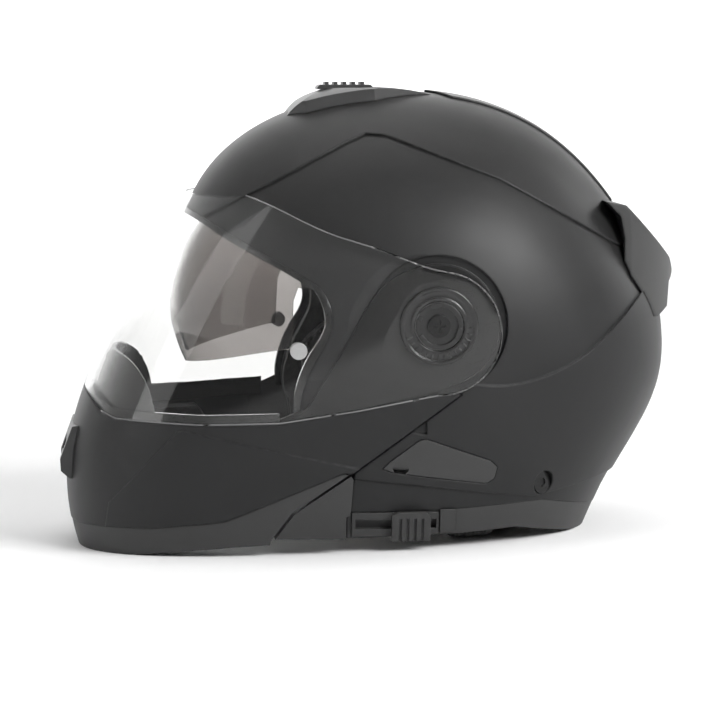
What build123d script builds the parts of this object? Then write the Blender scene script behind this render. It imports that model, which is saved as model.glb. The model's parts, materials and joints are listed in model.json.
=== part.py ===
"""Flip-front motorcycle helmet with a clear visor, a drop-down sun visor and a lifting chin bar.

Shapes are drawn in the worn frame: the origin is on the side pivots' axis, X runs to the back of
the head, Y to the wearer's right and Z up. stand() then leans a finished solid back onto the chin
and the tail, which is how the helmet stands, and lifts it onto the ground.
"""

from build123d import *

import math
import os

os.makedirs("parts", exist_ok=True)

# ---- driving dimensions, mm and degrees -------------------------------------------------------
LEAN = 2.12                 # the standing helmet leans back this much from its worn position
PIVOT_X = 31.3              # the side pivots' place once the helmet stands
PIVOT_Z = 122.6
SHELL_HALF = 120.0          # half width of the shell at the pivots
SHELL_POWER = 2.2           # superellipse power of its slices
SHELL_WALL = 4.6
FRONT_HALF = 122.0          # the same over the closed visor and chin bar
FRONT_POWER = 2.5
VISOR_WALL = 2.0
ARM_OUT, ARM_IN = 2.35, 4.2  # the chin bar's side arms, depths under the visor's surface
CHIN_WALL = 3.4
SEAM = 0.9                  # gap along the edges where moving shells meet
FLOOR_Y = 113.6             # bottom of the round recess at each pivot
RECESS_R = 37.6
SUN_X, SUN_Z = -20.0, -10.0  # the sun visor's own pivots
STRAP_WIDE, STRAP_THICK = 24.0, 2.2
FAR = 270.0

# closed outlines through the mid plane, in order over the top from the brow
SHELL_PROFILE = [
    (-128, 66), (-109.5, 91), (-82, 109), (-46, 120), (-8, 123.3), (30, 118.3), (63, 104.5),
    (90, 83), (112, 55), (128, 25), (136, -8), (134.5, -37), (121, -68), (103, -99), (84, -140),
    (40, -190), (-35, -216), (-100, -205), (-140, -150), (-158, -75), (-156, -10), (-147, 32),
]
FRONT_PROFILE = [
    (-108, 108), (-139, 61.5), (-160, 26), (-178, -11), (-191, -43), (-199, -72), (-200, -105),
    (-192, -138), (-165, -180), (-110, -208), (-40, -222), (40, -215), (110, -180), (160, -115),
    (185, -30), (180, 55), (140, 125), (70, 160), (-10, 160), (-70, 140),
]
SUN_PROFILE = [
    (-137, -25), (-141.5, 0.6), (-134.8, 34.1), (-125.8, 51), (-104, 76), (-60, 100), (-20, 105), (40, 85),
    (80, 30), (80, -50), (30, -110), (-40, -125), (-100, -90), (-126, -50),
]
SLICES = (0, 14, 28, 42, 55, 66, 75, 81, 84.5)   # degrees from the mid plane, the last closes a side


# ---- bodies that the layers are cut from ------------------------------------------------------
def egg(profile, half, power, inset=0.0, centre=(0, 0)):
    """A closed body whose slices across Y are one profile, shrunk towards its centre with |y|."""
    rim = []
    for x, z in profile:
        away = math.hypot(x - centre[0], z - centre[1])
        keep = (away - inset) / away
        rim.append(((x - centre[0]) * keep, (z - centre[1]) * keep))
    wires = []
    for a in [-a for a in reversed(SLICES[1:])] + list(SLICES):
        shrink = math.cos(math.radians(a)) ** (2 / power)
        y = math.copysign((half - inset) * math.sin(math.radians(abs(a))) ** (2 / power), a)
        points = [Vector(centre[0] + shrink * x, y, centre[1] + shrink * z) for x, z in rim]
        wires.append(Wire([Edge.make_spline(points, periodic=True)]))
    return Solid.make_loft(wires)


kept = {}


def body(name, inset=0.0):
    """The named body moved in by inset, made once."""
    if (name, inset) not in kept:
        kept[name, inset] = {
            "shell": lambda: egg(SHELL_PROFILE, SHELL_HALF, SHELL_POWER, inset),
            "front": lambda: egg(FRONT_PROFILE, FRONT_HALF, FRONT_POWER, inset),
            "sun": lambda: egg(SUN_PROFILE, 102.5, 2.4, inset, (SUN_X, SUN_Z)),
        }[name]()
    return kept[name, inset]


def outline(*runs):
    """A side outline in X and Z: each run is a line of corners, or a smooth curve if marked."""
    edges = []
    last = None
    first = None
    for run in runs:
        smooth = run[0] == "curve"
        points = [Vector(x, 0, z) for x, z in (run[1:] if smooth else run)]
        first = first or points[0]
        if last and (last - points[0]).length > 1e-6:
            edges.append(Line(last, points[0]))
        if smooth:
            edges.append(Spline(*points))
        else:
            edges += [Line(a, b) for a, b in zip(points, points[1:])]
        last = points[-1]
    edges.append(Line(last, first))
    return make_face(edges)


def across(face, y0=-FAR, y1=FAR):
    """The side outline carried across the helmet from y0 to y1."""
    return extrude(Pos(0, y0, 0) * face, amount=y1 - y0, dir=(0, 1, 0))


def layer(face, outer, inner, y0=-FAR, y1=FAR):
    """What is inside one body and outside the next, within a side outline."""
    return (across(face, y0, y1) & outer) - inner


def rod(x, z, radius, y0, y1):
    """A round bar across the helmet."""
    return Pos(x, (y0 + y1) / 2, z) * Rot(90, 0, 0) * Cylinder(radius, abs(y1 - y0))


def block(x0, x1, y0, y1, z0, z1):
    return Pos((x0 + x1) / 2, (y0 + y1) / 2, (z0 + z1) / 2) * Box(x1 - x0, y1 - y0, z1 - z0)


def stand(solid):
    """From the worn frame to the helmet standing on the ground."""
    return Pos(PIVOT_X, 0, PIVOT_Z) * Rot(0, LEAN, 0) * solid


def mirrored(solid):
    return mirror(solid, Plane.XZ)


def biggest(shape):
    return max(shape.solids(), key=lambda s: s.volume)


pieces = {}


def keep(name, shape, worn=True):
    pieces[name] = stand(shape) if worn else shape


def keep_pair(name, left, worn=True):
    """A piece on the wearer's left and its mirror image."""
    keep(name + "_left", left, worn)
    keep(name + "_right", mirrored(left), worn)


GROUND = Rot(0, -LEAN, 0) * Pos(0, 0, -PIVOT_Z - 100) * Box(900, 900, 200)

# ---- side outlines ----------------------------------------------------------------------------
# edge of the opening in front: brow, temple, then down behind the chin bar's sides
BROW = ["curve", (-240, 66), (-170, 64), (-134.6, 60.5), (-113, 49), (-82, 31.5), (-65, 21.5)]
TEMPLE = ["curve", (-65, 21.5), (-58, 11), (-57.5, -3), (-63, -15), (-72, -35), (-70, -60)]
OPENING = outline(BROW, TEMPLE, [(-70, -60), (-62, -120), (-62, -240), (-240, -240)])
INNER_BROW = ["curve", (-240, 60), (-170, 59.5), (-134.6, 57), (-113, 45), (-81, 27.5), (-66.5, 18.5)]
INNER_TEMPLE = ["curve", (-66.5, 18.5), (-61.3, 8.5), (-61, -2), (-67, -13), (-76, -34), (-74, -60)]
INNER_OPENING = outline(INNER_BROW, INNER_TEMPLE, [(-74, -60), (-66, -240), (-240, -240)])

# lower edge of the shell, from the chin's corner back to the tail
HEM = [(-78, -102.5), (0, -101.2), (60, -97.8), (97, -106.5), (150, -116)]

# the visor's lower edge, from the front back to the pivot plate
SILL = [(-240, -40), (-190, -40.6), (-181, -50), (-173, -53), (-128, -53.8), (-85, -52), (-42, -45)]
PLATE_X, PLATE_Z, PLATE_R = 0.6, -4.2, 32.8

# ---- the fixed shell --------------------------------------------------------------------------
whole = across(outline(HEM, [(170, -60), (170, 170), (-240, 170), (-240, -102.5)]))
# behind the chin bar's sides the wall steps inwards
under_chin = across(outline([(-240, -30), (6, -30), (13, -37.3), (-44.6, -80.2), (-52, -130),
                             (-240, -130)]))
stepped = across(outline([(-240, -24), (14, -24), (22, -40), (-37, -84), (-44, -130), (-240, -130)]))
STEP_IN = 3.0
shell = ((body("shell") & whole) - under_chin) - body("shell", SHELL_WALL)
shell = shell + ((body("shell", STEP_IN) & whole & stepped) - body("shell", STEP_IN + SHELL_WALL))
boss = (rod(0, 0, 42, -118, -109) + rod(0, 0, 42, 109, 118)) & body("shell", STEP_IN + 0.4)
shell = shell + boss

# the crown stands a little proud above a line from the brow over the temple to the spoiler
RAISE = 1.0
crown_line = [(-240, -10), (-97, 70.5), (-48, 96.8), (-36, 102), (-25, 101.2), (36, 77.3), (104, 40.5)]
crown = outline(crown_line, [(170, 20), (170, 200), (-240, 200)])
shell = shell + layer(crown, body("shell", -RAISE), body("shell", 0.5))

# the lower side stands proud too, flush with the chin bar in front of it
flank_top = ["curve", (20, -31.5), (47, -31.5), (65, -26), (84, -16), (102, -1.5), (150, 34)]
flank_bottom = [(160, -80), (54, -95.2), (7, -89.2), (-43.7, -83.2)]
flank = across(outline(flank_top, flank_bottom, [(-60, -81.2), (-20, -31.5)])) - under_chin
shell = shell + ((flank & body("shell", -RAISE - 0.4)) - body("shell", SHELL_WALL))

# room under the chin bar's arms
relief = rod(0, 0, 59, 115.7, 140) & block(-62, -6, 100, 150, -62, 62)
recess = rod(0, 0, RECESS_R, FLOOR_Y, 140) + relief
shell = shell - recess - mirrored(recess) - across(OPENING)
shell = biggest(shell)

# the round well of a screw, low on each side
SCREW_X, SCREW_Z, SCREW_Y = 58.0, -88.0, 92.4
screw_way = Pos(SCREW_X, -SCREW_Y, SCREW_Z) * Rot(0, 0, 38) * Rot(90, 0, 0)
well = screw_way * Pos(0, 0, 7) * Cylinder(6.6, 14)
shell = shell - well - mirrored(well)

# the communications bay on the left, closed by a cover
bay_face = outline([(-30, -77.5), (-26, -73.6), (-10, -61.8), (-6.5, -61.2), (29.5, -74), (33, -77.6),
                    (31.4, -83.8), (27, -86.6), (-24, -79.8)])
bay = layer(bay_face, body("shell", -6), body("shell", 1.9), -FAR, 0)
shell = shell - bay
keep("outer_shell", shell)

cover_face = offset(bay_face, -0.25)
cover = layer(cover_face, body("shell", -RAISE - 0.9), body("shell", 1.9), -FAR, 0)
notch = Pos(-20, -114, -76.5) * Rot(90, 0, 0) * Cylinder(4.5, 4)
keep("intercom_cover", biggest(cover - notch))

# ---- trim fixed to the shell ------------------------------------------------------------------
strip_top = block(3, 112, -26, 26, 40, 140)
strip_plan = extrude(make_face(Polyline([(2, 0), (16, 25), (112, 21), (112, -21), (16, -25)],
                                        close=True)), amount=300)
keep("crown_strip", biggest((strip_top & strip_plan & body("shell", -RAISE - 1.3))
                            - body("shell", -RAISE) - block(107.4, 200, -99, 99, -99, 99)))

spoiler_side = outline([(98, 64), (106, 56), (108.4, 43), (108, 25), (106, 12), (105.6, -3), (113, 0.5),
                        (130, -1), (137.4, 4), (139, 17.5), (143.2, 22.7), (139.4, 31), (127.6, 43.3)],
                       ["curve", (127.6, 43.3), (118, 53), (109, 62)])
spoiler_plan = extrude(Pos(60, 0, -60) * Ellipse(84.2, 84).face(), amount=200)
spoiler = (across(spoiler_side, -66, 66) & spoiler_plan) - body("shell", -RAISE) - shell
spoiler = biggest(spoiler)
keep("rear_spoiler", spoiler)

housing_side = outline(["curve", (-78, 108), (-70, 117.6), (-58, 124.2), (-50, 126.2)],
                       [(-50, 126.2), (-24, 126.4)],
                       ["curve", (-24, 126.4), (-8, 125.2), (8, 121.4)],
                       [(8, 60), (-78, 60)])
housing_plan = make_face(Polyline([(-80, 18), (-66, 34), (-28, 37), (9, 20), (9, -20), (-28, -37),
                                   (-66, -34), (-80, -18)], close=True))
housing = (across(housing_side, -40, 40) & extrude(housing_plan, amount=200)
           & body("shell", -7.5)) - body("shell", -RAISE)
channel = block(-64, -21, -13, 13, 125, 140)
keep("top_vent_housing", biggest(housing - channel))

gasket = layer(OPENING, body("shell", -0.6), body("shell", 5.6)) - across(INNER_OPENING)
gasket = gasket - block(-300, 0, -200, 200, -300, -52)
keep("eyeport_gasket", biggest(gasket))

trim_face = outline([(-48.5, -103)], HEM[1:4], [(101.8, -108), (103, -113), (101.8, -117), (98, -119.8),
                    (79, -119), (70, -117), (45, -112.4), (11, -114.6), (-48.5, -116.4)])
trim = layer(trim_face, body("shell", 0.3), body("shell", 12))

corner_face = outline([(-87.5, -116.6), (-77.2, -102.4), (-47, -81.4), (-45.6, -83.4), (-47, -103),
                       (-49.2, -104), (-49.2, -116.4)])
corner = biggest(layer(corner_face, body("front", 0.8), body("shell", 12), -FAR, 0) - shell)
keep_pair("jaw_corner", corner)
trim = trim - GROUND - corner - mirrored(corner)

screw = screw_way * (Pos(0, 0, 1.1) * Cylinder(6.2, 2.2) - Pos(0, 0, 2.2) * Cylinder(2.4, 1.6))
keep_pair("rear_screw", screw)

# ---- pivots -----------------------------------------------------------------------------------
base = rod(0, 0, 33.5, -FLOOR_Y - 3.0, -FLOOR_Y)
for spot in range(3):
    x, z = 27 * math.cos(2.1 * spot + 0.6), 27 * math.sin(2.1 * spot + 0.6)
    base = base - rod(x, z, 2.6, -118, -115.4)
base = base - rod(0, 0, 3.2, -118, -110)
keep_pair("pivot_base", base)

cap = rod(0, 0, 12.6, -FRONT_HALF - 1.6, -FRONT_HALF + 1.9)
cap = cap + rod(0, 0, 7, -FRONT_HALF + 1.9, -FLOOR_Y - 3)
cap = cap - rod(0, 0, 10.2, -FRONT_HALF - 2, -FRONT_HALF + 0.6)
cap = cap - rod(0, 0, 3.2, -130, -110)
for ear in (0, 120, 240):
    cap = cap + Rot(0, ear + 20, 0) * block(9.9, 12.4, -FRONT_HALF - 2.4, -FRONT_HALF - 1.5, -3, 3)
keep_pair("pivot_cap", cap)

bolt = rod(0, 0, 6, -FRONT_HALF - 1.4, -FRONT_HALF + 0.6) + rod(0, 0, 3.2, -FRONT_HALF, -FLOOR_Y - 0.4)
for turn in (0, 90):
    bolt = bolt - Rot(0, turn, 0) * block(-3.4, 3.4, -FRONT_HALF - 2, -FRONT_HALF - 0.4, -0.7, 0.7)
keep_pair("pivot_screw", bolt)

# ---- clear visor ------------------------------------------------------------------------------
visor_face = outline(["curve", (-240, 71), (-160, 69.5), (-128, 68), (-102, 68.4)],
                     ["curve", (-102, 68.4), (-84, 61), (-61, 50), (-31, 40.2), (-8, 31.5), (4, 28.5)],
                     [(4, 28.5), (PLATE_X, PLATE_Z), (0, PLATE_Z - PLATE_R + 0.1)], SILL[::-1])
visor = layer(visor_face, body("front"), body("front", VISOR_WALL))
plate = (rod(PLATE_X, PLATE_Z, PLATE_R, -FAR, FAR) & body("front")) - body("front", VISOR_WALL)
EYELET = 13.0
visor = visor + plate - rod(0, 0, EYELET, -FAR, FAR)
PIN_X, PIN_Z = -75.1, -13.4
pin_y = 115.4
visor = visor - rod(PIN_X, PIN_Z, 2.6, -FAR, FAR)
visor = biggest(visor)
keep("visor", visor)
pin = rod(PIN_X, PIN_Z, 4.6, -pin_y - 3.0, -pin_y - 1.2) + rod(PIN_X, PIN_Z, 2.6, -pin_y - 1.2, -pin_y + 6)
pin = pin + rod(PIN_X, PIN_Z, 4.2, -pin_y + 4, -pin_y + 6)
keep_pair("antifog_pin", biggest(pin - visor))

# ---- chin bar ---------------------------------------------------------------------------------
sill_low = [(x, z - SEAM) for x, z in SILL]
lower = [(-51, -79.6), (-114.6, -107), (-153.5, -112.4), (-187, -114.5), (-240, -117)]
chin_face = outline(sill_low, [(3, -36.2), (12, -37.1)], [(-45.6, -79.5)], lower)
ridge = across(outline([(-177, -100), (-140.5, -58.5), (-136.5, -57.5), (-83.5, -68.7), (-30, -79.7),
                        (-30, -140), (-183, -140)]))
chin_prism = across(chin_face)
chin = (chin_prism & body("front")) + (chin_prism & ridge & body("front", -0.8))
chin = chin - body("front", CHIN_WALL)
chin = biggest(chin - rod(PLATE_X, PLATE_Z, PLATE_R + SEAM, -FAR, FAR))
VENT_Z = -79.0
duct = block(-230, -180, -18, 18, VENT_Z - 5, VENT_Z + 5)
chin = chin - duct
keep("chin_bar", chin)

arm_edge = ["curve", (-70, -44), (-59, -26), (-45, -2.3), (-30, 21), (-12, 30.6)]
arm_face = outline([(-76, -50)], arm_edge, [(0, 0), (12, -28), (2, -35.2),
                                            (-42, -44.8)])
arm = across(arm_face, -FAR, 0) + rod(0, 0, 32.6, -FAR, 0)
arm = (arm & body("front", ARM_OUT)) - body("front", ARM_IN)
flange_face = outline([(-95, -55), (-76, -46.5), (-42, -40), (-4, -28), (1, -38.4), (-8.5, -50.5),
                       (-45, -75), (-90, -84)])
arm = arm + layer(flange_face, body("front", CHIN_WALL), body("front", 4.8), -FAR, 0)
arm = arm - rod(0, 0, 7.4, -FAR, 0)
for x, z in ((-64, -60), (-40, -64)):
    arm = arm - rod(x, z, 1.6, -FAR, 0)
arm = biggest(arm)
keep_pair("chin_arm", arm)

skirt_rear = [(-48.2, -80.6), (-78.6, -101.9), (-89.2, -116.6), (-90.3, -119.9)]
skirt_low = [(-107, -121.2), (-151, -126.6), (-171, -129.6), (-190, -130.6), (-240, -131)]
skirt_face = outline(skirt_rear, skirt_low, [(x, z - 0.1) for x, z in lower[::-1]])
skirt = layer(skirt_face, body("front", 0.5), body("front", 12))
skirt_back = layer(outline([(-95, -60), (-40, -60), (-40, -130), (-95, -130)]), body("front", 4.8),
                   body("front", 30))
skirt = biggest(skirt - skirt_back - GROUND)
keep("chin_skirt", skirt)

seal_face = outline([(x, z + 4.5) for x, z in SILL[:6]], [(x, z - 6) for x, z in SILL[5::-1]])
seal = layer(seal_face, body("front", VISOR_WALL + 0.5), body("front", 6)) - chin - arm - mirrored(arm)
keep("sill_seal", biggest(seal))

liner_face = outline([(-240, -54), (-186, -55), (-172, -62), (-125, -62), (-119, -70), (-122, -103),
                      (-150, -108), (-240, -112)])
chin_liner = layer(liner_face, body("front", 6), body("front", 25)) - duct - skirt
chin_liner = chin_liner + layer(liner_face, body("front", CHIN_WALL), body("front", 6.5)) - duct
chin_liner = chin_liner - layer(seal_face, body("front"), body("front", 6.2)) - skirt
keep("chin_liner", biggest(chin_liner))

guard_face = outline(["curve", (-240, -17), (-178, -18.5), (-166, -22), (-156, -34), (-151, -53)],
                     [(-151, -53), (-240, -53.8)])
guard = layer(guard_face, body("front", 7), body("front", 9.5))
keep("breath_guard", biggest(guard))

vent_side = outline([(-188, -60), (-197.2, -62), (-204, -80.5), (-203.6, -87), (-198.8, -91), (-188, -91)])
vent_plan = extrude(make_face(Polyline([(-230, -24), (-198, -34), (-180, -40), (-180, 40), (-198, 34),
                                        (-230, 24)], close=True)), amount=-200)
vent = (across(vent_side, -38, 38) & vent_plan) - body("front")
slot = block(-240, -170, -20, 20, VENT_Z - 7.5, VENT_Z + 7.5)
rails = block(-202.6, -200.4, -21.5, 21.5, VENT_Z - 7.5, VENT_Z + 7.5)
vent = biggest(vent - slot - rails)
keep("chin_vent", vent)
shutter = block(-202.3, -200.9, -19.6, 19.6, VENT_Z - 7.2, VENT_Z + 0.6)
for z in (-5.8, -3.3, -0.8):
    shutter = shutter + block(-203.2, -202.2, -15, 15, VENT_Z + z - 0.5, VENT_Z + z + 0.5)
keep("chin_vent_shutter", shutter)

housing = block(-184.5, -165, -18, 18, -127, -110.5) - skirt
housing = housing - block(-180, -169, -14, 14, -140, -114) - chin_liner
keep("release_housing", biggest(housing))
button = block(-179.7, -169.3, -13.7, 13.7, -127.6, -118.4)
for y in (-9, -4.5, 0, 4.5, 9):
    button = button - block(-181, -168, y - 0.7, y + 0.7, -128, -127)
keep("release_button", button)

AXLE_X, AXLE_Z, CATCH_X, CATCH_Z = -108.0, -80.0, -87.0, -88.0
hook_face = outline([(AXLE_X - 5, AXLE_Z - 1), (AXLE_X - 3, AXLE_Z + 4.5), (-95, -78.5),
                     (-82, -81.5), (-80, -89), (-83, -92.5), (-83.3, -88), (-86, -84.5), (-97, -84),
                     (AXLE_X, AXLE_Z - 5)])
hook = across(hook_face, -97.5, -94.5) + rod(AXLE_X, AXLE_Z, 5, -97.5, -94.5)
keep_pair("latch_hook", hook - rod(AXLE_X, AXLE_Z, 2.4, -99, -93))
axle = rod(AXLE_X, AXLE_Z, 2.1, -98, -93.5) + rod(AXLE_X, AXLE_Z, 4.2, -93.5, -92.5)
axle = axle + ((rod(AXLE_X, AXLE_Z, 5, -112, -97.9) & body("front", CHIN_WALL)))
keep_pair("latch_axle", axle)
catch = rod(CATCH_X, CATCH_Z, 2.5, -98, -91) + block(-91, -60, -91.5, -88.5, -93, -82)
catch = catch + (block(-66, -60, -108, -88.5, -93, -82) & body("shell", 8.6))
keep_pair("latch_catch", biggest(catch - corner - shell))

# ---- sun visor and its slider -----------------------------------------------------------------
sun_face = outline([(-170, 54), (-104, 54), (-78, 47), (-46, 22), (SUN_X - 2, SUN_Z + 9), (SUN_X, SUN_Z),
                    (SUN_X - 6, SUN_Z - 8), (-40, 0), (-60, 17), (-74, 19), (-76.5, 12), (-77.5, -14)],
                   ["curve", (-77.5, -14), (-95, -17), (-120, -22.5), (-136, -25.8), (-170, -27)])
sun = layer(sun_face, body("sun"), body("sun", 2.2))
sun = sun + ((rod(SUN_X, SUN_Z, 9, -FAR, FAR) & body("sun")) - body("sun", 2.2))
sun = sun - rod(SUN_X, SUN_Z, 3.3, -FAR, FAR)
nose = Pos(-140, 0, -37) * Rot(0, 90, 0) * Cylinder(34, 120)
keep("sun_visor", biggest(sun - nose))
sun_pin = rod(SUN_X, SUN_Z, 3, -109, -98.4) + rod(SUN_X, SUN_Z, 6.5, -99.9, -98.4)
keep_pair("sun_visor_pin", sun_pin + rod(SUN_X, SUN_Z, 6, -109, -102.9))

# ---- lining -----------------------------------------------------------------------------------
CAVITY = 34.0
LINED = outline([(-240, -82), (28, -82), (60, -60), (170, -60), (170, 170), (-240, 170)])
foam = layer(LINED, body("shell", SHELL_WALL), body("shell", CAVITY)) - across(OPENING)
ring = [(SUN_X + 113 * math.cos(t / 8 * math.pi), SUN_Z + 113 * math.sin(t / 8 * math.pi))
        for t in range(16)]
core = egg(ring, 96.5, 2.4, 0.0, (SUN_X, SUN_Z))
pocket = outline([(-4, -32), (-4, 12), (-44, 140), (-240, 140), (-240, -70), (-40, -70)])
foam = foam - (across(pocket) - core)
foam = foam - shell - corner - mirrored(corner)
cheek_face = outline([(-66, -24), (-50, -10), (-20, -6), (2, -18), (9, -50), (9, -96), (-58, -96)])
foam = foam - (across(cheek_face) & body("shell", 22))
foam = biggest(foam)
keep("foam_liner", foam)

pad_edge = outline([(-96, 46), (-60, 20), (-40, 2), (60, -24), (160, -40), (160, 160), (-96, 160)])
keep("crown_pad", biggest(layer(pad_edge, body("shell", CAVITY), body("shell", CAVITY + 7)) - foam))
cheek_pad = layer(offset(cheek_face, -0.8), body("shell", 22.4), body("shell", 50), -FAR, 0)
keep_pair("cheek_pad", biggest(cheek_pad - foam))
neck_face = outline([(38, -62), (60, -62), (160, -62), (160, -112), (97, -104), (60, -96.5), (38, -96)])
neck_roll = layer(neck_face, body("shell", SHELL_WALL + 0.3), body("shell", 40)) - foam
keep("neck_roll", biggest(neck_roll))

# ---- side slider of the sun visor ---------------------------------------------------------------
rail = layer(outline([(-46, -115.6), (-46, -102), (1.5, -102), (1.5, -114.6)]), body("shell", -0.8),
             body("shell", 7), -FAR, 0)
rail = rail - layer(outline([(-44, -111), (-44, -106), (0, -106), (0, -111)]), body("shell", -2),
                    body("shell", 3.5), -FAR, 0)
stop_block = layer(outline([(2, -113.8), (2, -100.5), (10.5, -100.5), (10.5, -113.2)]),
                   body("shell", -1.8), body("shell", 7), -FAR, 0)
keep("neck_trim", biggest(trim - rail - stop_block - block(-46, 1.5, -130, -100, -111, -106)))
keep("slider_rail", biggest(rail))
keep("slider_stop", biggest(stop_block - shell))
knob = layer(outline([(-24.5, -117.6), (-24.5, -103), (-21, -101.4), (-6, -101.4), (-3.5, -103.6),
                      (-3.5, -117.6)]),
             body("shell", -6), body("shell", -1.5), -FAR, 0)
for x in (-20, -16, -12, -8):
    knob = knob - layer(outline([(x - 0.8, -119), (x - 0.8, -105), (x + 0.8, -105), (x + 0.8, -119)]),
                        body("shell", -7), body("shell", -4.4), -FAR, 0)
knob = knob + layer(outline([(-18, -110), (-18, -107), (-10, -107), (-10, -110)]), body("shell", -2),
                    body("shell", 2.6), -FAR, 0)
keep("slider_knob", biggest(knob))

# ---- top vent slider ----------------------------------------------------------------------------
top_slider = block(-58.5, -27, -12, 12, 125.4, 128)
top_slider = chamfer(top_slider.edges().filter_by(Axis.Y).group_by(Axis.Z)[-1], 1.4)
for x in (-53, -48, -43, -38, -33):
    top_slider = top_slider + block(x - 1.1, x + 1.1, -9.5, 9.5, 127, 129.6)
keep("top_vent_slider", top_slider)


# ---- chin strap, undone, its two ends lying on the ground ---------------------------------------
STRAP_X = PIVOT_X + 18


def webbing(path, thick):
    """A flat band along a path in Y and Z, for one side of the strap."""
    over, under = [], []
    for i, (y, z) in enumerate(path):
        ahead = path[min(i + 1, len(path) - 1)]
        behind = path[max(i - 1, 0)]
        dy, dz = ahead[0] - behind[0], ahead[1] - behind[1]
        size = math.hypot(dy, dz)
        over.append(Vector(0, y - dz / size * thick / 2, z + dy / size * thick / 2))
        under.append(Vector(0, y + dz / size * thick / 2, z - dy / size * thick / 2))
    edges = [Spline(*over), Line(over[-1], under[-1]), Spline(*under[::-1]), Line(under[0], over[0])]
    band = extrude(make_face(edges), amount=STRAP_WIDE, dir=(1, 0, 0))
    return Pos(STRAP_X - STRAP_WIDE / 2, 0, 0) * band


half = STRAP_THICK / 2
hang = [(-87.5, 38), (-87, 26), (-84, 13), (-76, 4.6), (-65, half + 0.1), (-53, half)]
band_left = webbing(hang + [(-45, half), (-34, half)], STRAP_THICK)
band_right = mirrored(webbing(hang + [(-46, half)], STRAP_THICK))
keep("strap_right", band_right, worn=False)

# each strap hangs from a plate on a stud inside the shell
stud_x = STRAP_X - PIVOT_X
anchor = block(stud_x - 9, stud_x + 9, -90.4, -88.9, -94, -82.4)
anchor = anchor + (rod(stud_x, -88, 4, -110, -90.4) & body("shell", SHELL_WALL))
keep_pair("strap_anchor", anchor)

buckle = Pos(STRAP_X, -16, 4.4) * Box(30, 40, 8.8) - Pos(STRAP_X, -14, 5.6) * Box(20, 60, 4.2)
buckle = buckle - Pos(STRAP_X, -4, 9) * Box(22, 40, 6)
buckle = buckle - Pos(STRAP_X, -18, 7.6) * Rot(0, 90, 0) * Cylinder(1.4, 40)
keep("buckle_body", buckle, worn=False)
keep("strap_left", band_left - buckle, worn=False)
lever = Pos(STRAP_X, -18, 7.6) * Rot(0, 90, 0) * Cylinder(1.1, 29)
lever = lever + Pos(STRAP_X, -6, 8.6) * Box(21, 28, 1.8) + Pos(STRAP_X, -18, 7.9) * Box(21, 3, 1.6)
keep("buckle_lever", lever, worn=False)

tongue = Pos(STRAP_X, 25.5, 1.5) * Box(16, 41, 3)
for tooth in range(13):
    tongue = tongue + Pos(STRAP_X, 8 + 2.4 * tooth, 3.4) * Box(16, 1.2, 1)
tongue = tongue + Pos(STRAP_X, 49, 2.2) * Box(28, 12, 4.4)
keep("ratchet_tongue", tongue - band_right, worn=False)

for name, shape in pieces.items():
    export_step(shape, f"parts/{name}.step")
    print(name, len(shape.solids()), round(shape.volume))
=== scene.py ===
# %% [markdown]
# # A flip-front helmet around a working frame
# The helmet's shells, hinges and buttons come from a CAD model that already has the right sizes and
# already moves. This lesson leaves those shapes alone. It gives each one the finish of the real
# material, and it makes the soft lining again, because foam and cloth are what CAD is worst at.

# %% Load the frame
import json
import math

import bmesh
import bpy
from mathutils import Matrix, Vector
from mathutils.bvhtree import BVHTree


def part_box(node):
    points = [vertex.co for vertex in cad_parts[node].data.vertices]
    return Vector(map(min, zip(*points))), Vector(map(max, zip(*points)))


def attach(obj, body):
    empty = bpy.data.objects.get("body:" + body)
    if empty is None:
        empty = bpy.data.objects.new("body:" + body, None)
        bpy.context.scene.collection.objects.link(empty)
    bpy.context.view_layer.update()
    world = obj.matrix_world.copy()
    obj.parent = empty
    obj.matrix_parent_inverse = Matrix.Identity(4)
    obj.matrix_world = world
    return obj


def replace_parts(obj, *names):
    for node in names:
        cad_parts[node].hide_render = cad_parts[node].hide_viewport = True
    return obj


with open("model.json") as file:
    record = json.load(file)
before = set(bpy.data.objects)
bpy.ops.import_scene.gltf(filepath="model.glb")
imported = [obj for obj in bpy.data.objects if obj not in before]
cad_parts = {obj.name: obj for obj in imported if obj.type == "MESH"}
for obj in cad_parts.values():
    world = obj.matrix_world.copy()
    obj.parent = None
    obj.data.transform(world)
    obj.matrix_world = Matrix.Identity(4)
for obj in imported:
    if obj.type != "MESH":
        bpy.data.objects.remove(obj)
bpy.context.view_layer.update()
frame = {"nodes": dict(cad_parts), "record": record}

nodes = frame["nodes"]
joints = {j["name"]: j for j in frame["record"]["behaviour"]["joints"]}

# %% [markdown]
# ## The view
# The helmet is seen from its left side, a little from in front and from just above the pivots. A long
# lens keeps the far side nearly as large as the near one, as in a product picture. The camera is
# turned round the side pivots' axis, because that is the helmet's own landmark, and it leans with the
# helmet: the picture holds the helmet level, as it is worn, while it really stands leaning back.

# %% Camera
pivot = Vector(joints["chin_bar_hinge"]["pos_m"])
LEAN = math.radians(2.12)
AZIMUTH = math.radians(-4.2)
RISE = math.radians(5.0)
DISTANCE = 2.0
WIDTH_IN_VIEW = 0.4104

worn = Matrix.Rotation(LEAN, 3, "Y")
right = Vector((math.cos(AZIMUTH), math.sin(AZIMUTH), 0))
back = Vector((math.sin(AZIMUTH) * math.cos(RISE), -math.cos(AZIMUTH) * math.cos(RISE), math.sin(RISE)))
up = back.cross(right)
aim = pivot + worn @ Vector((-0.0336, 0, -0.0286))

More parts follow.
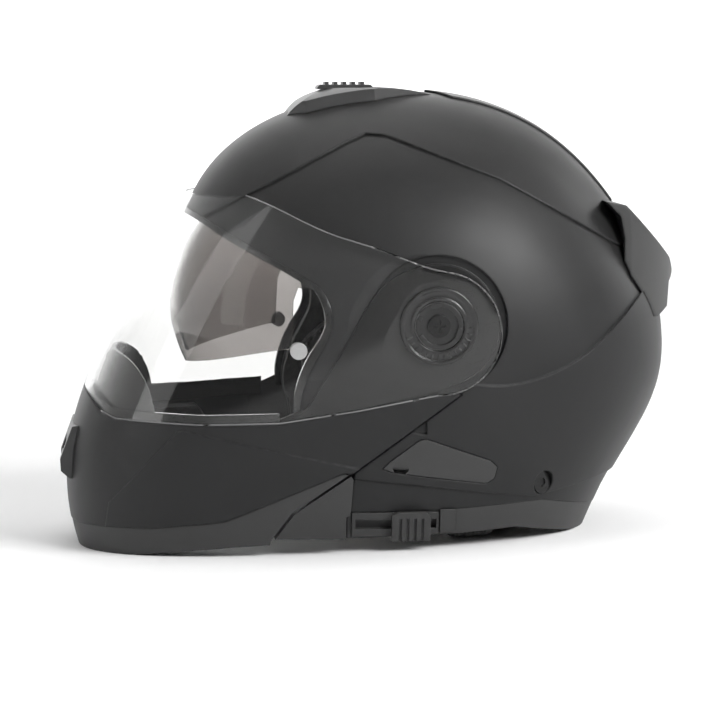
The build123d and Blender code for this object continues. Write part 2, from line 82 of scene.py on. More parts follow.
camera_data = bpy.data.cameras.new("camera")
camera_data.sensor_width = 36
camera_data.lens = 36 * DISTANCE / WIDTH_IN_VIEW
camera_data.clip_end = 50
camera = bpy.data.objects.new("camera", camera_data)
bpy.context.scene.collection.objects.link(camera)
turn = Matrix((worn @ right, worn @ up, worn @ back)).transposed().to_4x4()
camera.matrix_world = Matrix.Translation(aim + worn @ back * DISTANCE) @ turn
bpy.context.scene.camera = camera
print("camera", [round(c, 3) for c in camera.location])

# %% [markdown]
# ## Floor and light
# A pale floor runs up into a pale backdrop, so there is no horizon. Black paint shows its shape only
# by what it reflects, so the lights are large and soft: one broad panel over the near side draws the
# long highlight on the upper flank, and two dimmer ones round off the crown and the tail.

# %% Floor, backdrop and lights


def node_material(name):
    """An empty material with a Principled shader, and short ways to add and join nodes."""
    material = bpy.data.materials.new(name)
    material.use_nodes = True
    tree = material.node_tree
    shader = tree.nodes["Principled BSDF"] if "Principled BSDF" in tree.nodes else None
    if shader is None:
        shader = tree.nodes.new("ShaderNodeBsdfPrincipled")
        output = tree.nodes.new("ShaderNodeOutputMaterial")
        tree.links.new(shader.outputs[0], output.inputs[0])
    return material, tree, shader


def deselect():
    for thing in bpy.context.selected_objects:
        thing.select_set(False)


def active(thing):
    deselect()
    thing.select_set(True)
    bpy.context.view_layer.objects.active = thing


deselect()
FLOOR_HALF = 6.0
bpy.ops.mesh.primitive_plane_add(size=2 * FLOOR_HALF, location=(0, 0, 0))
floor = bpy.context.object
floor.name = "floor"
bpy.ops.object.mode_set(mode="EDIT")
bm = bmesh.from_edit_mesh(floor.data)
for edge in bm.edges:
    edge.select = all(v.co.y > 1 for v in edge.verts)
bmesh.update_edit_mesh(floor.data)
bpy.ops.mesh.extrude_region_move(TRANSFORM_OT_translate={"value": (0, 0, 5)})
bpy.ops.object.mode_set(mode="OBJECT")
bend = floor.modifiers.new("cove", "BEVEL")
bend.width = 2.5
bend.segments = 12
active(floor)
bpy.ops.object.modifier_apply(modifier="cove")
bpy.ops.object.shade_smooth()
paper, tree, shader = node_material("paper")
shader.inputs["Base Color"].default_value = (0.92, 0.92, 0.92, 1)
shader.inputs["Roughness"].default_value = 0.9
floor.data.materials.append(paper)

world = bpy.data.worlds.new("studio")
bpy.context.scene.world = world
world.use_nodes = True
sky = world.node_tree.nodes["Background"]
sky.inputs["Color"].default_value = (1, 1, 1, 1)
sky.inputs["Strength"].default_value = 0.2
bpy.context.scene.view_settings.view_transform = "Standard"


def panel(name, place, size, power, target=(0, 0, 0.12)):
    """A soft rectangular light aimed at a point, which is the middle of the helmet if none is given."""
    data = bpy.data.lights.new(name, "AREA")
    data.shape = "RECTANGLE"
    data.size, data.size_y = size
    data.energy = power
    lamp = bpy.data.objects.new(name, data)
    bpy.context.scene.collection.objects.link(lamp)
    lamp.location = place
    lamp.rotation_euler = (Vector(target) - Vector(place)).to_track_quat("-Z", "Y").to_euler()
    return lamp


panel("flank_light", (1.3, -1.6, 1.2), (1.3, 0.9), 60)
panel("crown_light", (-0.2, 0.4, 2.4), (1.8, 1.4), 8)
panel("front_light", (-2.0, -0.6, 0.7), (0.8, 1.4), 7)
panel("tail_light", (1.8, 0.8, 0.8), (0.8, 1.2), 8)
panel("backdrop_light", (0, 3.4, 3.0), (5.0, 1.2), 170, (0, 6, 0.9))

# %% [markdown]
# ## Effects shared by many finishes
# Each effect is a node group, built once. It takes a few numbers and puts out a mask, a height or a
# normal, and the material decides what to do with it.
# Fine grain is noise small enough to read as the texture of paint or moulded plastic. Edge wear looks
# for places where a rounded normal differs from the real one, which is what rubbing finds too. Dust
# settles on faces that look up.

# %% Shared effect groups


def group(name, inputs, outputs):
    """A shader node group with named float inputs, given with their defaults, and outputs."""
    tree = bpy.data.node_groups.new(name, "ShaderNodeTree")
    for label, value in inputs.items():
        kind = "NodeSocketVector" if value is None else "NodeSocketFloat"
        socket = tree.interface.new_socket(label, in_out="INPUT", socket_type=kind)
        if value is not None:
            socket.default_value = value
    for label, kind in outputs.items():
        tree.interface.new_socket(label, in_out="OUTPUT", socket_type=kind)
    return tree, tree.nodes.new("NodeGroupInput"), tree.nodes.new("NodeGroupOutput")


def math_node(tree, operation, first, second=None, third=None, clamp=False):
    """A Math node, each input a number or a socket."""
    node = tree.nodes.new("ShaderNodeMath")
    node.operation = operation
    node.use_clamp = clamp
    for socket, value in zip(node.inputs, (first, second, third)):
        if isinstance(value, (int, float)):
            socket.default_value = value
        elif value is not None:
            tree.links.new(value, socket)
    return node.outputs[0]


def noise(tree, vector, scale, detail=2.0, roughness=0.5):
    node = tree.nodes.new("ShaderNodeTexNoise")
    node.inputs["Detail"].default_value = detail
    node.inputs["Roughness"].default_value = roughness
    tree.links.new(vector, node.inputs["Vector"])
    if isinstance(scale, (int, float)):
        node.inputs["Scale"].default_value = scale
    else:
        tree.links.new(scale, node.inputs["Scale"])
    return node.outputs["Fac"]


def object_place(tree):
    return tree.nodes.new("ShaderNodeTexCoord").outputs["Object"]


def make_grain():
    tree, given, result = group("fine grain", {"Scale": 3000.0, "Patches": 40.0},
                                {"Height": "NodeSocketFloat", "Mottle": "NodeSocketFloat"})
    where = object_place(tree)
    tree.links.new(noise(tree, where, given.outputs["Scale"], 3), result.inputs["Height"])
    tree.links.new(noise(tree, where, given.outputs["Patches"], 4), result.inputs["Mottle"])
    return tree


def make_edge_wear():
    tree, given, result = group("edge wear", {"Radius": 0.0012, "Breakup": 180.0},
                                {"Mask": "NodeSocketFloat", "Soft Normal": "NodeSocketVector"})
    rounded = tree.nodes.new("ShaderNodeBevel")
    rounded.samples = 6
    tree.links.new(given.outputs["Radius"], rounded.inputs["Radius"])
    straight = tree.nodes.new("ShaderNodeNewGeometry")
    dot = tree.nodes.new("ShaderNodeVectorMath")
    dot.operation = "DOT_PRODUCT"
    tree.links.new(rounded.outputs[0], dot.inputs[0])
    tree.links.new(straight.outputs["Normal"], dot.inputs[1])
    bent = math_node(tree, "SUBTRACT", 1.0, dot.outputs["Value"])
    spread = math_node(tree, "MULTIPLY", bent, 6.0, clamp=True)
    patches = noise(tree, object_place(tree), given.outputs["Breakup"], 4, 0.7)
    broken = math_node(tree, "MULTIPLY", spread, math_node(tree, "GREATER_THAN", patches, 0.5))
    tree.links.new(broken, result.inputs["Mask"])
    tree.links.new(rounded.outputs[0], result.inputs["Soft Normal"])
    return tree


def make_dust():
    tree, given, result = group("settled dust", {"Amount": 0.2}, {"Mask": "NodeSocketFloat"})
    facing = tree.nodes.new("ShaderNodeNewGeometry")
    split = tree.nodes.new("ShaderNodeSeparateXYZ")
    tree.links.new(facing.outputs["Normal"], split.inputs[0])
    upward = math_node(tree, "MULTIPLY", split.outputs["Z"], given.outputs["Amount"], clamp=True)
    cloud = noise(tree, object_place(tree), 25.0, 5, 0.65)
    tree.links.new(math_node(tree, "MULTIPLY", upward, cloud), result.inputs["Mask"])
    return tree


GRAIN, WEAR, DUST = make_grain(), make_edge_wear(), make_dust()


def use(tree, shared, **values):
    """Places a shared effect in a material with its own numbers."""
    node = tree.nodes.new("ShaderNodeGroup")
    node.node_tree = shared
    for label, value in values.items():
        node.inputs[label].default_value = value
    return node


def mix_colour(tree, amount, first, second):
    node = tree.nodes.new("ShaderNodeMix")
    node.data_type = "RGBA"
    for socket, value in zip((node.inputs["Factor"], node.inputs["A"], node.inputs["B"]),
                             (amount, first, second)):
        if isinstance(value, (int, float, tuple)):
            socket.default_value = value
        else:
            tree.links.new(value, socket)
    return node.outputs["Result"]


def bump(tree, height, distance, strength=1.0, normal=None):
    node = tree.nodes.new("ShaderNodeBump")
    node.inputs["Distance"].default_value = distance
    node.inputs["Strength"].default_value = strength
    tree.links.new(height, node.inputs["Height"])
    if normal is not None:
        tree.links.new(normal, node.inputs["Normal"])
    return node.outputs["Normal"]


def grey(level, tint=(1.0, 1.0, 1.0)):
    return (level * tint[0], level * tint[1], level * tint[2], 1)


# %% [markdown]
# ## Hard finishes
# Matte paint, moulded plastic and rubber are the same recipe with other numbers: a dark base that
# varies a little in patches, a grain in the surface, soft edges that wear lighter, and a trace of dust
# on top. One function takes those numbers, so the finishes differ only where the real ones do.

# %% Paint, plastic and rubber


def coated(name, level, roughness, tint=(1, 1, 1), grain=3000.0, depth=0.00002, wear=0.25, edge=0.0012,
           dust=0.12, worn_level=0.12, coat=0.0, coat_rough=0.3, specular=0.5):
    material, tree, shader = node_material(name)
    surface = use(tree, GRAIN, Scale=grain, Patches=35.0)
    edges = use(tree, WEAR, Radius=edge, Breakup=220.0)
    settled = use(tree, DUST, Amount=dust)
    base = mix_colour(tree, surface.outputs["Mottle"], grey(level * 0.85, tint), grey(level * 1.2, tint))
    rubbed = math_node(tree, "MULTIPLY", edges.outputs["Mask"], wear)
    base = mix_colour(tree, rubbed, base, grey(worn_level, tint))
    base = mix_colour(tree, settled.outputs["Mask"], base, (0.30, 0.29, 0.27, 1))
    tree.links.new(base, shader.inputs["Base Color"])
    uneven = math_node(tree, "MULTIPLY_ADD", surface.outputs["Mottle"], 0.12, roughness - 0.06)
    tree.links.new(uneven, shader.inputs["Roughness"])
    shader.inputs["Specular IOR Level"].default_value = specular
    shader.inputs["Coat Weight"].default_value = coat
    shader.inputs["Coat Roughness"].default_value = coat_rough
    tree.links.new(bump(tree, surface.outputs["Height"], depth, 1.0, edges.outputs["Soft Normal"]),
                   shader.inputs["Normal"])
    return material


matte_paint = coated("matte paint", 0.010, 0.46, tint=(1, 1.01, 1.04), depth=0.000006, edge=0.0016,
                     wear=0.10, dust=0.05, specular=0.3)
strip_paint = coated("strip paint", 0.012, 0.42, grain=2600, depth=0.00001, wear=0.1, dust=0.05)
vent_plastic = coated("vent plastic", 0.026, 0.42, grain=2200, depth=0.00003, edge=0.0009, dust=0.08)
spoiler_paint = coated("spoiler paint", 0.024, 0.5, depth=0.000012, edge=0.002, wear=0.1, dust=0.05)
trim_plastic = coated("trim plastic", 0.020, 0.5, grain=1800, depth=0.00005, edge=0.0006)
pivot_plastic = coated("pivot plastic", 0.008, 0.25, grain=2500, depth=0.00001, edge=0.0005, wear=0.15)
arm_plastic = coated("arm plastic", 0.006, 0.42, grain=1400, depth=0.000001, edge=0.0006, wear=0.1,
                     dust=0.03, specular=0.2)
rubber = coated("soft rubber", 0.006, 0.2, grain=900, depth=0.00001, edge=0.0015, wear=0.0, dust=0.05)
skirt_rubber = coated("edge trim", 0.022, 0.55, grain=1500, depth=0.00005, edge=0.001, wear=0.1)
nylon = coated("toughened nylon", 0.02, 0.4, grain=1200, depth=0.00004, edge=0.0004)

# %% [markdown]
# ## Metal, lenses and foam
# The few metal pieces are brushed steel: the noise is stretched along one direction so the highlight
# breaks into fine lines. A lens has to pass light, so it is a transmissive shader with hardly any
# colour; its look comes from faint smears in the roughness. Expanded foam is a mass of fused beads,
# which Voronoi cells give directly.

# %% Steel, clear lens, smoke lens and bead foam


def steel(name, low, high):
    material, tree, shader = node_material(name)
    stretch = tree.nodes.new("ShaderNodeMapping")
    stretch.inputs["Scale"].default_value = (1, 1, 14)
    tree.links.new(object_place(tree), stretch.inputs["Vector"])
    lines = noise(tree, stretch.outputs[0], 900.0, 3, 0.6)
    edges = use(tree, WEAR, Radius=0.0004, Breakup=400.0)
    tree.links.new(mix_colour(tree, lines, grey(low), grey(high)), shader.inputs["Base Color"])
    shader.inputs["Metallic"].default_value = 1
    tree.links.new(math_node(tree, "MULTIPLY_ADD", lines, 0.2, 0.2), shader.inputs["Roughness"])
    tree.links.new(bump(tree, lines, 0.00001, 1.0, edges.outputs["Soft Normal"]), shader.inputs["Normal"])
    return material


def lens(name, colour, rim, shade, smear):
    """A clear shader, deeper where it is seen aslant, whose shadow is only a plain tint."""
    material, tree, shader = node_material(name)
    cloud = noise(tree, object_place(tree), 22.0, 5, 0.6)
    slant = tree.nodes.new("ShaderNodeLayerWeight")
    slant.inputs["Blend"].default_value = 0.5
    steep = math_node(tree, "POWER", slant.outputs["Facing"], 3.0, clamp=True)
    tree.links.new(mix_colour(tree, steep, colour, rim), shader.inputs["Base Color"])
    shader.inputs["Transmission Weight"].default_value = 1
    shader.inputs["IOR"].default_value = 1.28
    haze = math_node(tree, "SUBTRACT", math_node(tree, "MULTIPLY", cloud, smear), smear * 0.62, clamp=True)
    tree.links.new(haze, shader.inputs["Roughness"])
    passing = tree.nodes.new("ShaderNodeBsdfTransparent")
    passing.inputs["Color"].default_value = shade
    ray = tree.nodes.new("ShaderNodeLightPath")
    either = tree.nodes.new("ShaderNodeMixShader")
    tree.links.new(ray.outputs["Is Shadow Ray"], either.inputs[0])
    tree.links.new(shader.outputs[0], either.inputs[1])
    tree.links.new(passing.outputs[0], either.inputs[2])
    output = next(n for n in tree.nodes if n.type == "OUTPUT_MATERIAL")
    tree.links.new(either.outputs[0], output.inputs["Surface"])
    return material


def bead_foam():
    material, tree, shader = node_material("bead foam")
    cells = tree.nodes.new("ShaderNodeTexVoronoi")
    cells.inputs["Scale"].default_value = 280
    tree.links.new(object_place(tree), cells.inputs["Vector"])
    tree.links.new(mix_colour(tree, cells.outputs["Distance"], grey(0.030), grey(0.012)),
                   shader.inputs["Base Color"])
    shader.inputs["Roughness"].default_value = 0.8
    tree.links.new(bump(tree, math_node(tree, "SUBTRACT", 1.0, cells.outputs["Distance"]), 0.0006),
                   shader.inputs["Normal"])
    return material


brushed_steel = steel("brushed steel", 0.32, 0.5)
black_steel = steel("blackened steel", 0.02, 0.05)
clear_lens = lens("clear lens", (0.985, 0.985, 0.98, 1), (0.42, 0.43, 0.43, 1), (0.9, 0.9, 0.9, 1), 0.01)
smoke_lens = lens("smoke lens", (0.34, 0.32, 0.31, 1), (0.02, 0.02, 0.02, 1), (0.35, 0.33, 0.32, 1), 0.02)
beads = bead_foam()

# %% [markdown]
# ## Dressing the frame
# Every hard node keeps its CAD shape and takes its finish here. The table is in the order in which a
# hand would meet the pieces, from the outside in.

# %% Give each node its finish
finish = {
    matte_paint: ["outer_shell", "chin_bar"],
    strip_paint: ["crown_strip"],
    spoiler_paint: ["rear_spoiler"],
    vent_plastic: ["top_vent_housing", "top_vent_slider", "chin_vent", "chin_vent_shutter"],
    trim_plastic: ["intercom_cover", "slider_rail", "slider_stop", "slider_knob", "jaw_corner_left",
                   "jaw_corner_right", "release_housing", "release_button"],
    skirt_rubber: ["chin_skirt", "neck_trim"],
    pivot_plastic: ["pivot_base_left", "pivot_base_right", "pivot_cap_left", "pivot_cap_right",
                    "breath_guard", "sun_visor_pin_left", "sun_visor_pin_right"],
    arm_plastic: ["chin_arm_left", "chin_arm_right"],
    rubber: ["eyeport_gasket", "sill_seal"],
    black_steel: ["rear_screw_left", "rear_screw_right", "pivot_screw_left", "pivot_screw_right"],
    brushed_steel: ["antifog_pin_left", "antifog_pin_right", "latch_hook_left", "latch_hook_right",
                    "latch_axle_left", "latch_axle_right", "latch_catch_left", "latch_catch_right",
                    "strap_anchor_left", "strap_anchor_right", "buckle_body", "buckle_lever"],
    clear_lens: ["visor"],
    smoke_lens: ["sun_visor"],
    beads: ["foam_liner", "chin_liner"],
    nylon: ["ratchet_tongue"],
}
for material, names in finish.items():
    for name in names:
        thing = nodes[name]
        thing.data.materials.clear()
        thing.data.materials.append(material)
print(sum(len(names) for names in finish.values()), "hard nodes have their finish")

# %% [markdown]
# ## Lining cloth
# The cheek pads are foam blocks in a knitted spacer mesh: small round holes in rows, with a soft nap
# between them. The crown pad and the neck roll wear a closer brushed cloth. Both are made without any
# unwrapping, because a remeshed cushion has no seams to unwrap along. Voronoi cells give the holes,
# two crossed waves give the brushed cloth its threads, and a little sheen lights the nap at the edge.

# %% Spacer mesh, brushed cloth and webbing


def cloth_base(name, level, tint, nap):
    """A cloth whose nap catches light at grazing angles; the caller adds the weave."""
    material, tree, shader = node_material(name)
    surface = use(tree, GRAIN, Scale=nap, Patches=60.0)
    shader.inputs["Roughness"].default_value = 0.85
    shader.inputs["Sheen Weight"].default_value = 0.35
    shader.inputs["Sheen Roughness"].default_value = 0.4
    shader.inputs["Specular IOR Level"].default_value = 0.25
    tone = mix_colour(tree, surface.outputs["Mottle"], grey(level * 0.75, tint), grey(level * 1.3, tint))
    return material, tree, shader, surface, tone


def spacer_mesh():
    material, tree, shader, surface, tone = cloth_base("spacer mesh", 0.045, (1, 1, 1.02), 2200)
    cells = tree.nodes.new("ShaderNodeTexVoronoi")
    cells.inputs["Scale"].default_value = 380
    cells.inputs["Randomness"].default_value = 0.35
    tree.links.new(object_place(tree), cells.inputs["Vector"])
    rim = math_node(tree, "MULTIPLY_ADD", cells.outputs["Distance"], 3.2, -0.75, clamp=True)
    tree.links.new(mix_colour(tree, rim, grey(0.006), tone), shader.inputs["Base Color"])
    height = math_node(tree, "MULTIPLY_ADD", surface.outputs["Height"], 0.3, rim)
    tree.links.new(bump(tree, height, 0.0007), shader.inputs["Normal"])
    return material


def threads(tree, direction, scale):
    wave = tree.nodes.new("ShaderNodeTexWave")
    wave.bands_direction = direction
    wave.inputs["Scale"].default_value = scale
    wave.inputs["Distortion"].default_value = 0.6
    wave.inputs["Detail"].default_value = 1
    tree.links.new(object_place(tree), wave.inputs["Vector"])
    return wave.outputs["Fac"]


def brushed_cloth():
    material, tree, shader, surface, tone = cloth_base("brushed cloth", 0.028, (1, 1, 1.05), 1500)
    weave = math_node(tree, "MULTIPLY", threads(tree, "DIAGONAL", 190), threads(tree, "Z", 260))
    tree.links.new(mix_colour(tree, weave, grey(0.012), tone), shader.inputs["Base Color"])
    height = math_node(tree, "MULTIPLY_ADD", surface.outputs["Height"], 0.5, weave)
    tree.links.new(bump(tree, height, 0.0003), shader.inputs["Normal"])
    return material


spacer, brushed = spacer_mesh(), brushed_cloth()

# %% [markdown]
# ## Pads
# A pad is a block of soft foam in a sewn cover, so its faces belly out and its edges pull in to the
# seam. A short cloth simulation does that: the CAD solid is copied a little smaller, remeshed evenly,
# and blown up from inside. What the swelling may do is then limited: no point moves far, and none
# leaves the space that the CAD solid holds, because hard foam and shell lie right behind it. The sewn
# channels are pressed in afterwards, where the stitching would hold the cover down.

# %% Swell a pad inside its CAD solid
SAME_POINT = 0.00002      # metres; corners nearer than this are one corner
FRAMES = 20               # of cloth simulation for one pad
PRESSURE = 4.0
INSIDE = 0.0004           # metres that a pad keeps from its CAD solid's surface
ROUNDED = math.radians(40)

def pad_blank(node, name, smaller, voxel):
    """A copy of a CAD solid, remeshed evenly and drawn in a little all over."""
    deselect()
    piece = bpy.data.objects.new(name, nodes[node].data.copy())
    bpy.context.scene.collection.objects.link(piece)
    active(piece)
    piece.data.materials.clear()
    bpy.ops.object.mode_set(mode="EDIT")
    bpy.ops.mesh.select_all(action="SELECT")
    bpy.ops.mesh.remove_doubles(threshold=SAME_POINT)
    bpy.ops.object.mode_set(mode="OBJECT")
    for label, kind, settings in (("even", "REMESH", {"mode": "VOXEL", "voxel_size": voxel}),
                                  ("draw_in", "DISPLACE", {"strength": -smaller, "mid_level": 0}),
                                  ("soften", "SMOOTH", {"iterations": 4, "factor": 0.5})):
        modifier = piece.modifiers.new(label, kind)
        for key, value in settings.items():
            setattr(modifier, key, value)
        bpy.ops.object.modifier_apply(modifier=label)
    return piece


def swell(piece, most):
    """Blows the cover up, and keeps each point within a set distance of its start."""
    cloth = piece.modifiers.new("cover", "CLOTH")
    cloth.settings.use_pressure = True
    cloth.settings.uniform_pressure_force = PRESSURE
    cloth.settings.effector_weights.gravity = 0
    cloth.point_cache.frame_end = FRAMES
    for frame_number in range(1, FRAMES + 1):
        bpy.context.scene.frame_set(frame_number)
    blown = piece.evaluated_get(bpy.context.evaluated_depsgraph_get()).to_mesh()
    moved = [v.co.copy() for v in blown.vertices]
    piece.modifiers.remove(cloth)
    for vertex, place in zip(piece.data.vertices, moved):
        step = place - vertex.co
        if step.length > most:
            step *= most / step.length
        vertex.co = vertex.co + step
    bpy.context.scene.frame_set(1)


def keep_inside(piece, node):
    """Pulls every point that left the CAD solid back to just inside its surface."""
    solid = bmesh.new()
    solid.from_mesh(nodes[node].data)
    tree = BVHTree.FromBMesh(solid)
    for vertex in piece.data.vertices:
        near, normal, _, _ = tree.find_nearest(vertex.co)
        if (vertex.co - near).dot(normal) > -INSIDE:
            vertex.co = near - normal * INSIDE
    solid.free()


def press_channel(piece, distance, width, depth):
    """Presses a sewn channel in where distance(point) is small, with smooth sides."""
    normals = [v.normal.copy() for v in piece.data.vertices]
    for vertex, normal in zip(piece.data.vertices, normals):
        away = abs(distance(vertex.co)) / width
        if away < 1:
            vertex.co -= normal * depth * (0.5 + 0.5 * math.cos(math.pi * away))


def make_pad(node, name, voxel, smaller, most, material, channels):
    """One pad from its CAD solid; channels is a list of distance function, half width and depth."""
    piece = pad_blank(node, name, smaller, voxel)
    swell(piece, most)
    keep_inside(piece, node)
    finer = piece.modifiers.new("finer", "SUBSURF")
    finer.levels = finer.render_levels = 1
    bpy.ops.object.modifier_apply(modifier="finer")
    for distance, width, depth in channels:
        press_channel(piece, distance, width, depth)
    bpy.ops.object.shade_smooth()
    piece.data.materials.append(material)
    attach(piece, "shell_body")
    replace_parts(piece, node)
    print(piece.name, len(piece.data.polygons), "faces")


# %% [markdown]
# The cheek pads carry a sewn line along their middle and one behind it, which let the pad fold round
# the jaw. The crown pad is quilted in lobes from front to back, and the neck roll has a seam along the
# ridge, where its two halves of cloth meet.

# %% Cheek pads, crown pad and neck roll
cheek_low, cheek_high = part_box("cheek_pad_left")
cheek_mid = (Vector(cheek_low) + Vector(cheek_high)) / 2
for side in ("left", "right"):
    make_pad(f"cheek_pad_{side}", f"cheek_cushion_{side}", 0.004, 0.0016, 0.006, spacer, [
        (lambda p: p.z - cheek_mid.z - 0.35 * (p.x - cheek_mid.x), 0.005, 0.0022),
        (lambda p: p.x - cheek_mid.x - 0.018, 0.004, 0.0016)])
make_pad("crown_pad", "crown_cushion", 0.005, 0.0008, 0.003, brushed, [
    (lambda p: abs(p.y) - 0.022, 0.006, 0.0016),
    (lambda p: abs(p.y) - 0.058, 0.006, 0.0016)])
roll_low, roll_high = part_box("neck_roll")
roll_mid = (Vector(roll_low) + Vector(roll_high)) / 2
make_pad("neck_roll", "neck_cushion", 0.005, 0.0016, 0.006, brushed, [
    (lambda p: p.z - roll_mid.z, 0.005, 0.002)])

# %% [markdown]
# ## Chin strap
# Webbing is woven flat and stays flat across, while it bends easily along its length. So the band is
# one strip of faces drawn along the strap's own line and given a thickness; a cushion's method would
# lose the thin edges. The strap is undone, and its two ends lie on the ground. Two numbers are stored
# on the strip, along and across, and the weave follows them round each bend.

# %% Webbing and its material
strap_low, strap_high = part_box("strap_left")
STRAP_WIDE = strap_high[0] - strap_low[0]
STRAP_THICK = 0.0022
HANG = [(87.5, 38), (87, 26), (84, 13), (76, 4.6), (65, 1.2), (53, 1.1)]


def webbing():
    material, tree, shader = node_material("webbing")
    along, across = (tree.nodes.new("ShaderNodeAttribute") for _ in range(2))
    along.attribute_name, across.attribute_name = "along", "across"

    def ridges(reading, pitch, shift=0.0):
        turn = math_node(tree, "MULTIPLY_ADD", reading, 2 * math.pi / pitch, shift)
        return math_node(tree, "MULTIPLY_ADD", math_node(tree, "SINE", turn), 0.5, 0.5)

    rows = ridges(along.outputs["Fac"], 0.0016)
    cords = ridges(across.outputs["Fac"], 0.0022)
    slant = ridges(math_node(tree, "ADD", along.outputs["Fac"], across.outputs["Fac"]), 0.0016)
    woven = math_node(tree, "MULTIPLY", math_node(tree, "ADD", rows, slant), cords)
    surface = use(tree, GRAIN, Scale=1800.0, Patches=70.0)
    tone = mix_colour(tree, surface.outputs["Mottle"], grey(0.018), grey(0.036))
    tree.links.new(mix_colour(tree, woven, grey(0.009), tone), shader.inputs["Base Color"])
    shader.inputs["Roughness"].default_value = 0.62
    shader.inputs["Sheen Weight"].default_value = 0.2
    tree.links.new(bump(tree, woven, 0.00025), shader.inputs["Normal"])
    return material


def webbing_band(name, points, material):
    """A flat band along points in Y and Z (mm), as wide as the CAD strap, with rounded edges."""
    deselect()
    bpy.ops.mesh.primitive_plane_add(size=1, location=(0, 0, 0))
    piece = bpy.context.object
    piece.name = name
    middle = (strap_low[0] + strap_high[0]) / 2
    bpy.ops.object.mode_set(mode="EDIT")
    bm = bmesh.from_edit_mesh(piece.data)
    first, second = points[0], points[1]
    for v in bm.verts:
        y, z = first if v.co.y < 0 else second
        v.co = Vector((middle + math.copysign(STRAP_WIDE / 2, v.co.x), y / 1000, z / 1000))
    bm.edges.ensure_lookup_table()
    for edge in bm.edges:
        edge.select = all((v.co - Vector((v.co.x, second[0] / 1000, second[1] / 1000))).length < 1e-5
                          for v in edge.verts)
    bmesh.update_edit_mesh(piece.data)
    for (y0, z0), (y1, z1) in zip(points[1:], points[2:]):
        bpy.ops.mesh.extrude_region_move(
            TRANSFORM_OT_translate={"value": (0, (y1 - y0) / 1000, (z1 - z0) / 1000)})
    bpy.ops.mesh.select_all(action="SELECT")
    bpy.ops.mesh.normals_make_consistent(inside=False)
    bpy.ops.mesh.subdivide(number_cuts=2)
    bpy.ops.object.mode_set(mode="OBJECT")
    for label, kind, settings in (
            ("curve", "SUBSURF", {"levels": 2, "render_levels": 2}),
            ("wall", "SOLIDIFY", {"thickness": STRAP_THICK * 0.8, "offset": 0}),
            ("edge", "BEVEL", {"width": 0.0006, "segments": 2})):
        modifier = piece.modifiers.new(label, kind)
        for key, value in settings.items():
            setattr(modifier, key, value)
        bpy.ops.object.modifier_apply(modifier=label)
    bpy.ops.object.shade_smooth_by_angle(angle=ROUNDED)
    run = piece.data.attributes.new("along", "FLOAT", "POINT")
    side = piece.data.attributes.new("across", "FLOAT", "POINT")
    for i, v in enumerate(piece.data.vertices):
        run.data[i].value = abs(v.co.y) - v.co.z
        side.data[i].value = v.co.x
    piece.data.materials.append(material)
    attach(piece, "shell_body")
    print(name, len(piece.data.polygons), "faces")
    return piece


strap_cloth = webbing()
left_line = [(-y, z) for y, z in HANG] + [(-45, 1.1), (-36.5, 1.1)]
right_line = HANG + [(46, 1.1)]
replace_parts(webbing_band("webbing_left", left_line, strap_cloth), "strap_left")
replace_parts(webbing_band("webbing_right", right_line, strap_cloth), "strap_right")

# %% [markdown]
# ## Edge of the visor
# A moulded visor has a rounded lip all round, and it is the lip, not the pane, that catches the light
# and draws the visor's outline. The CAD pane has a square edge. Its wall of narrow faces is copied,
# and given a little thickness, which makes a fine bead that follows the edge exactly. The bead is an
# opaque grey, far lighter than the clear edge it stands for: that lightness is a painted highlight,
# and its glossy coat adds real highlights on top.

# %% Bead round the pane
# Painted highlight: the lip's base grey of 0.10 is much lighter than the black parts, so the edge reads as
# a bright line; the coat adds real gloss as well.
lip_painted_highlight = coated("visor lip", 0.10, 0.15, depth=0.000004, edge=0.0004, wear=0.0, dust=0.0,
                      specular=0.8, coat=0.6, coat_rough=0.05)
PANE = 0.0034             # metres; a face with less than this behind it is the pane's own surface
deselect()
bead = bpy.data.objects.new("visor_lip", nodes["visor"].data.copy())
bpy.context.scene.collection.objects.link(bead)
active(bead)
bead.data.materials.clear()
bpy.ops.object.mode_set(mode="EDIT")
bpy.ops.mesh.select_all(action="SELECT")
bpy.ops.mesh.remove_doubles(threshold=SAME_POINT)
bm = bmesh.from_edit_mesh(bead.data)
pane = BVHTree.FromBMesh(bm)
for face in bm.faces:
    middle = face.calc_center_median()
    behind = pane.ray_cast(middle - face.normal * 0.00005, -face.normal)
    face.select = behind[3] is not None and behind[3] < PANE
bmesh.update_edit_mesh(bead.data)
bpy.ops.mesh.delete(type="FACE")
bpy.ops.object.mode_set(mode="OBJECT")
wall = bead.modifiers.new("wall", "SOLIDIFY")
wall.thickness, wall.offset = 0.0008, 1
bpy.ops.object.modifier_apply(modifier="wall")
bpy.ops.object.shade_smooth_by_angle(angle=ROUNDED)
bead.data.materials.append(lip_painted_highlight)
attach(bead, "visor_body")
print("visor_lip", len(bead.data.polygons), "faces")

# %% [markdown]
# ## Ratchet rings at the pivots
# Round each pivot screw, the visor carries a stepped ring with short index marks, which show how far
# it has been clicked open. Each ring is a circle drawn through a stepped section: extruded a little,
# scaled about the pivot, and extruded again, then closed on itself. One mark is modelled and copied
# round.

# %% Stepped ring and index marks
ring_plastic = coated("ratchet ring", 0.012, 0.22, depth=0.000006, edge=0.0004, wear=0.35,
                      worn_level=0.3, dust=0.0)
SECTION = [(0.0134, 0.0), (0.0134, 0.0009), (0.0150, 0.0011), (0.0156, 0.0006), (0.0186, 0.0006),
           (0.0192, 0.0012), (0.0204, 0.0012), (0.0210, 0.0008), (0.0210, 0.0)]
MARKS = 15


def close_and_smooth(piece, width):
    bpy.ops.mesh.select_all(action="SELECT")
    bpy.ops.mesh.normals_make_consistent(inside=False)
    bpy.ops.object.mode_set(mode="OBJECT")
    edge = piece.modifiers.new("edge", "BEVEL")
    edge.width, edge.segments, edge.limit_method = width, 2, "ANGLE"
    bpy.ops.object.modifier_apply(modifier="edge")
    bpy.ops.object.shade_smooth_by_angle(angle=math.radians(35))


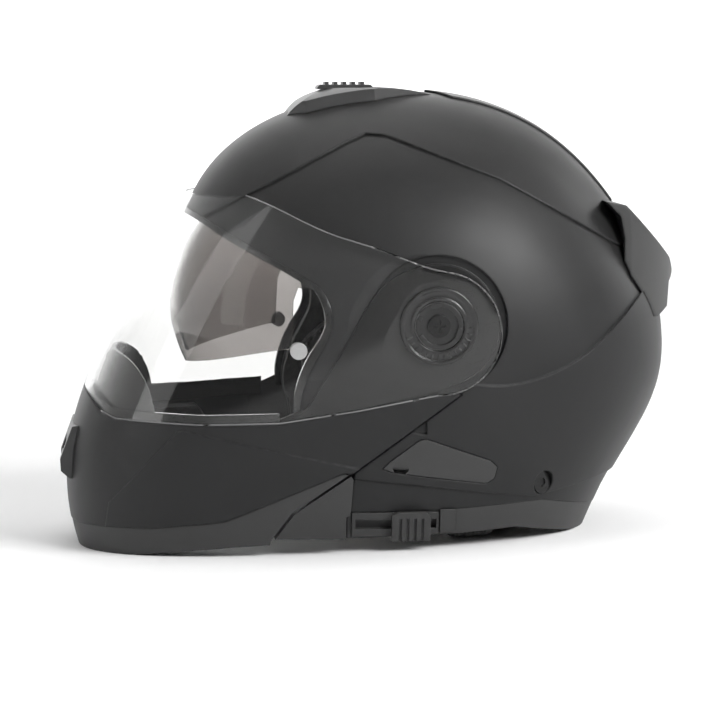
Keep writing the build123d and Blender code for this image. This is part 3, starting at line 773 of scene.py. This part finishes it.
def ratchet_ring(side, outward):
    """outward is -1 on the wearer's left and +1 on the right, along Y."""
    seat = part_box(f"pivot_cap_{side}")
    face_y = (seat[0][1] + 0.0023) if outward < 0 else (seat[1][1] - 0.0023)
    centre = Vector((pivot.x, face_y, pivot.z))
    deselect()
    bpy.ops.mesh.primitive_circle_add(vertices=72, radius=SECTION[0][0], location=centre,
                                      rotation=(math.pi / 2, 0, 0))
    ring = bpy.context.object
    ring.name = f"ratchet_ring_{side}"
    bpy.ops.object.transform_apply(location=True, rotation=True, scale=True)
    bpy.ops.object.mode_set(mode="EDIT")
    for (r0, h0), (r1, h1) in zip(SECTION, SECTION[1:]):
        bpy.ops.mesh.extrude_region_move(TRANSFORM_OT_translate={"value": (0, outward * (h1 - h0), 0)})
        bpy.ops.transform.resize(value=(r1 / r0, 1, r1 / r0), center_override=centre)
    bpy.ops.mesh.select_all(action="SELECT")
    bm = bmesh.from_edit_mesh(ring.data)
    for edge in bm.edges:
        edge.select = len(edge.link_faces) == 1
    bmesh.update_edit_mesh(ring.data)
    bpy.ops.mesh.bridge_edge_loops()
    close_and_smooth(ring, 0.00015)
    marks = []
    for n in range(MARKS):
        turn_by = math.radians(200 + n * 11)
        deselect()
        bpy.ops.mesh.primitive_cube_add(size=1, location=(0, 0, 0))
        mark = bpy.context.object
        mark.scale = (0.0022 if n % 3 else 0.0030, 0.0006, 0.0005)
        mark.rotation_euler = (0, -turn_by, 0)
        mark.location = centre + Vector((math.cos(turn_by) * 0.0171, outward * 0.0008,
                                         math.sin(turn_by) * 0.0171))
        bpy.ops.object.transform_apply(location=True, rotation=True, scale=True)
        bpy.ops.object.mode_set(mode="EDIT")
        close_and_smooth(mark, 0.0001)
        marks.append(mark)
    active(ring)
    for mark in marks:
        mark.select_set(True)
    bpy.ops.object.join()
    ring.data.materials.clear()
    ring.data.materials.append(ring_plastic)
    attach(ring, "visor_body")
    print(ring.name, len(ring.data.polygons), "faces")


ratchet_ring("left", -1)
ratchet_ring("right", 1)
